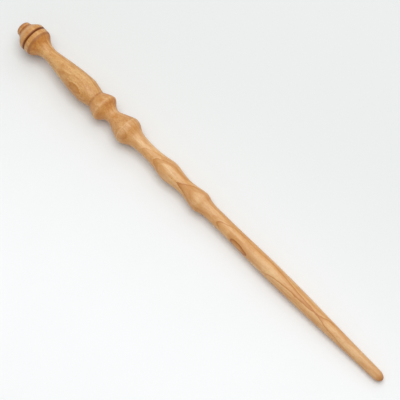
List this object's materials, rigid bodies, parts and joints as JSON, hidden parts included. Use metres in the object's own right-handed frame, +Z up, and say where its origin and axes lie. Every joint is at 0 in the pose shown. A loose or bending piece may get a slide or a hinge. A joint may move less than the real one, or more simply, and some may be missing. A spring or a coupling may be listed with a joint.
{
  "type": "magic wand",
  "caption": "Turned hardwood magic wand with a domed pommel knob, a swelling grip, ridged beads, gentle swells and a long tapering shaft.",
  "frame": {"origin": "on the turning axis, at the middle of the grip, halfway between the thin neck and the vee where the handle meets the shaft", "axes": "+X along the wand towards its tip; +Z up as it lies on a table; the body is round about X"},
  "size_m": [0.355, 0.0212, 0.0212],
  "materials": {
    "knob_wood": "satin oil, scorched groove at the joint",
    "handle_wood": "satin oil",
    "shaft_wood": "satin oil"
  },
  "bodies": {
    "root": {"pommel_knob": "knob_wood", "handle": "handle_wood", "shaft": "shaft_wood"}
  },
  "joints": []
}
